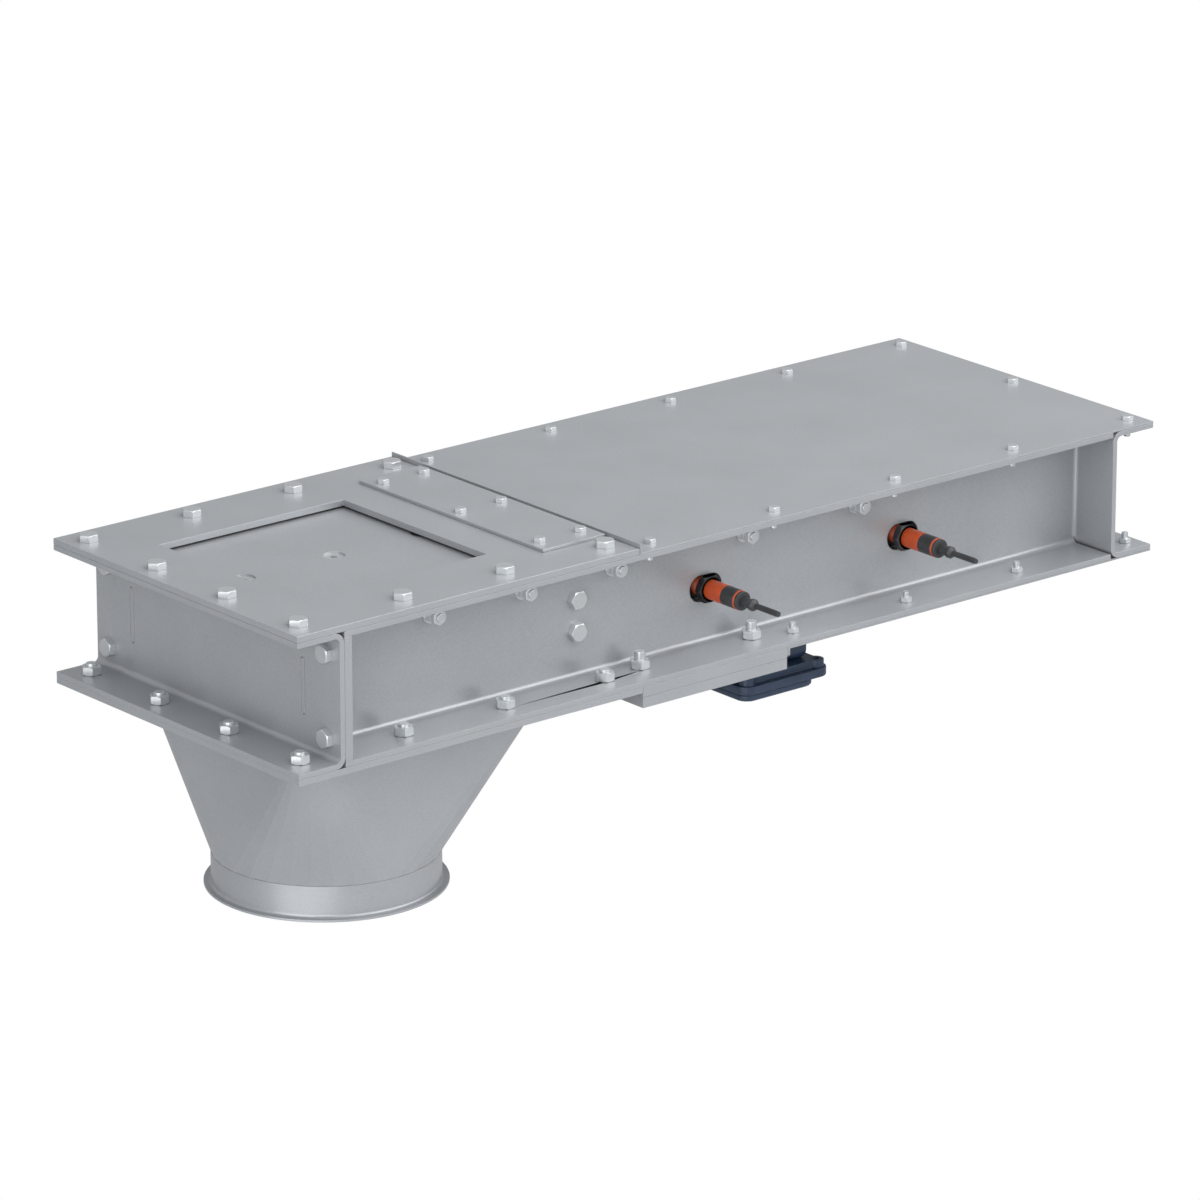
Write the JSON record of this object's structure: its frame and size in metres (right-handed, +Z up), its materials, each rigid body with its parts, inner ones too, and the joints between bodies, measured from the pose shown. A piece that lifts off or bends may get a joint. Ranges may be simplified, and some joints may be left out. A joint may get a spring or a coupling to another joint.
{
  "type": "silo outlet gate",
  "caption": "Flat motor-driven slide gate for a silo outlet: bolted channel body, sliding plate on rack and pinion, two position sensors, square-to-round hopper with a round spigot below.",
  "frame": {"origin": "centre of the square inlet opening on the top face of the inlet plate", "axes": "+Z up, out of the inlet opening; +X from the inlet along the body to its rear end, the way the plate opens; the sensors are on the -Y side"},
  "size_m": [0.99, 0.399, 0.3127],
  "materials": {
    "sheet_steel": "bare stainless sheet, fine ground, half gloss",
    "machined_steel": "milled bare steel",
    "bright_fasteners": "bright stainless fasteners",
    "felt": "pressed wool felt",
    "black_rubber": "matt black rubber",
    "white_plastic": "natural white slide plastic",
    "bronze": "turned bearing bronze",
    "blue_enamel": "dark blue machine enamel, half gloss",
    "bare_aluminium": "machined bare aluminium",
    "orange_plastic": "orange moulded plastic, half gloss",
    "black_plastic": "black moulded plastic, matt"
  },
  "bodies": {
    "housing": {"bearing_column": "machined_steel", "bottom_cover": "sheet_steel", "bottom_cover_bolts": "bright_fasteners", "bottom_cover_nuts": "bright_fasteners", "cable_gland": "black_plastic", "drive_plate_bolts": "bright_fasteners", "drive_plate_lower": "sheet_steel", "drive_plate_nuts": "bright_fasteners", "drive_plate_upper": "sheet_steel", "drive_screws": "bright_fasteners", "end_bars": "sheet_steel", "end_channel_inlet": "sheet_steel", "end_channel_rear": "sheet_steel", "end_web_bolts": "bright_fasteners", "gear_case": "blue_enamel", "gear_case_cap": "blue_enamel", "guide_rail_far": "machined_steel", "guide_rail_near": "machined_steel", "inlet_plate": "sheet_steel", "inlet_plate_screws": "bright_fasteners", "inlet_seal_frame": "black_rubber", "motor_body": "blue_enamel", "motor_end_cap": "blue_enamel", "motor_joint_ring": "bare_aluminium", "outlet_hopper": "sheet_steel", "outlet_plate": "sheet_steel", "outlet_plate_bolts": "bright_fasteners", "outlet_plate_nuts": "bright_fasteners", "outlet_spigot": "sheet_steel", "partition": "sheet_steel", "partition_bolts": "bright_fasteners", "partition_nuts": "bright_fasteners", "rail_bolts": "bright_fasteners", "rail_nuts": "bright_fasteners", "seal_clamp_plate": "sheet_steel", "seal_clamp_screws": "bright_fasteners", "sensor_brackets": "sheet_steel", "sensor_closed": "orange_plastic", "sensor_nuts": "black_plastic", "sensor_open": "orange_plastic", "sensor_plugs": "black_plastic", "sensor_sleeves": "black_plastic", "shaft_bushes": "bronze", "side_channel_far": "sheet_steel", "side_channel_near": "sheet_steel", "slide_strips": "white_plastic", "terminal_box": "blue_enamel", "terminal_lid": "blue_enamel", "terminal_lid_screws": "bright_fasteners", "top_cover": "sheet_steel", "top_cover_screws": "bright_fasteners", "wiper_packing": "felt"},
    "slide": {"slide_plate": "sheet_steel", "rack": "machined_steel", "rack_screws": "bright_fasteners", "switching_flag": "sheet_steel", "flag_screws": "bright_fasteners"},
    "pinion": {"pinion": "machined_steel", "output_shaft": "machined_steel", "pinion_fixings": "machined_steel"}
  },
  "joints": [
    {"name": "blade_slide", "type": "slide", "parent": "housing", "child": "slide", "axis": [1, 0, 0], "range_m": [0, 0.234]},
    {"name": "pinion_turn", "type": "hinge", "parent": "housing", "child": "pinion", "pos_m": [0.303, 0.04, -0.025], "axis": [0, 0, 1], "range_deg": [-0.5, 447.5]}
  ],
  "couplings": [
    {"joint": "pinion_turn", "follows": "blade_slide", "rad_per_m": 33.333}
  ]
}
